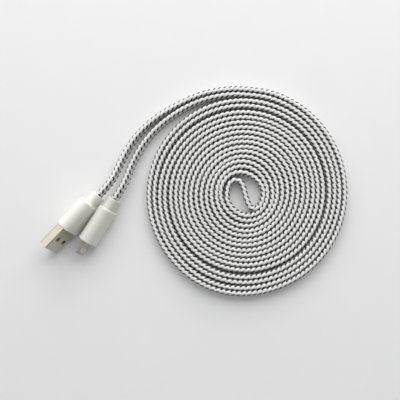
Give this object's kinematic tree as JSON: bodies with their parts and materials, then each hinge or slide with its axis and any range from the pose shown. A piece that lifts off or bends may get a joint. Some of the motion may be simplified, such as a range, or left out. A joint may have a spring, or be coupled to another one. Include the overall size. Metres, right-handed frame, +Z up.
{
  "type": "charging cable",
  "caption": "Flat fabric-braided charging cable wound on edge into a flat double spiral, with a USB-A plug and a thin reversible tab plug side by side at its loose ends.",
  "frame": {"origin": "middle of the coiled cable, on the flat face that it rests on", "axes": "+Z up out of the coil; -X towards the loose ends with the plugs; the loose ends leave the coil at its +Y side, heading -X"},
  "size_m": [0.1416, 0.0974, 0.0144],
  "materials": {
    "braid": "white textile braid",
    "tracer": "black textile tracer yarn",
    "jacket": "soft white cable jacket",
    "housing": "glossy white moulding",
    "sleeve": "satin white moulding",
    "mould": "unfinished natural moulding",
    "shell": "nickel-plated stamped steel",
    "insulator": "white moulding",
    "contacts": "gold-plated contacts",
    "tab_steel": "fine satin steel",
    "tab_insulator": "light grey moulding",
    "board": "green solder mask",
    "chip": "black moulded package",
    "capacitor": "tan ceramic body",
    "shield": "tin-plated sheet steel",
    "clamp": "bare stamped brass",
    "solder": "bright tin solder",
    "wire_red": "smooth red insulation",
    "wire_white": "smooth white insulation",
    "wire_green": "smooth green insulation",
    "wire_black": "smooth black insulation"
  },
  "bodies": {
    "root": {"cable_coil": "braid", "cable_tail_usb": "braid", "cable_tail_tab": "braid", "usb_shell": "shell", "usb_insulator": "insulator", "usb_contact_supply": "contacts", "usb_contact_data_minus": "contacts", "usb_contact_data_plus": "contacts", "usb_contact_ground": "contacts", "usb_solder_joints": "solder", "usb_wire_supply": "wire_red", "usb_wire_data_minus": "wire_white", "usb_wire_data_plus": "wire_green", "usb_wire_ground": "wire_black", "usb_cable_end": "jacket", "usb_cable_clamp": "clamp", "usb_inner_mould": "mould", "usb_housing": "housing", "usb_strain_relief": "sleeve", "tab_frame": "tab_steel", "tab_insulator": "tab_insulator", "tab_contacts_upper": "contacts", "tab_contacts_lower": "contacts", "tab_board": "board", "tab_control_chip": "chip", "tab_capacitors": "capacitor", "tab_shield_can": "shield", "tab_solder_joints": "solder", "tab_wire_supply": "wire_red", "tab_wire_data_minus": "wire_white", "tab_wire_data_plus": "wire_green", "tab_wire_ground": "wire_black", "tab_cable_end": "jacket", "tab_inner_mould": "mould", "tab_housing": "housing", "tab_strain_relief": "sleeve"}
  },
  "joints": []
}
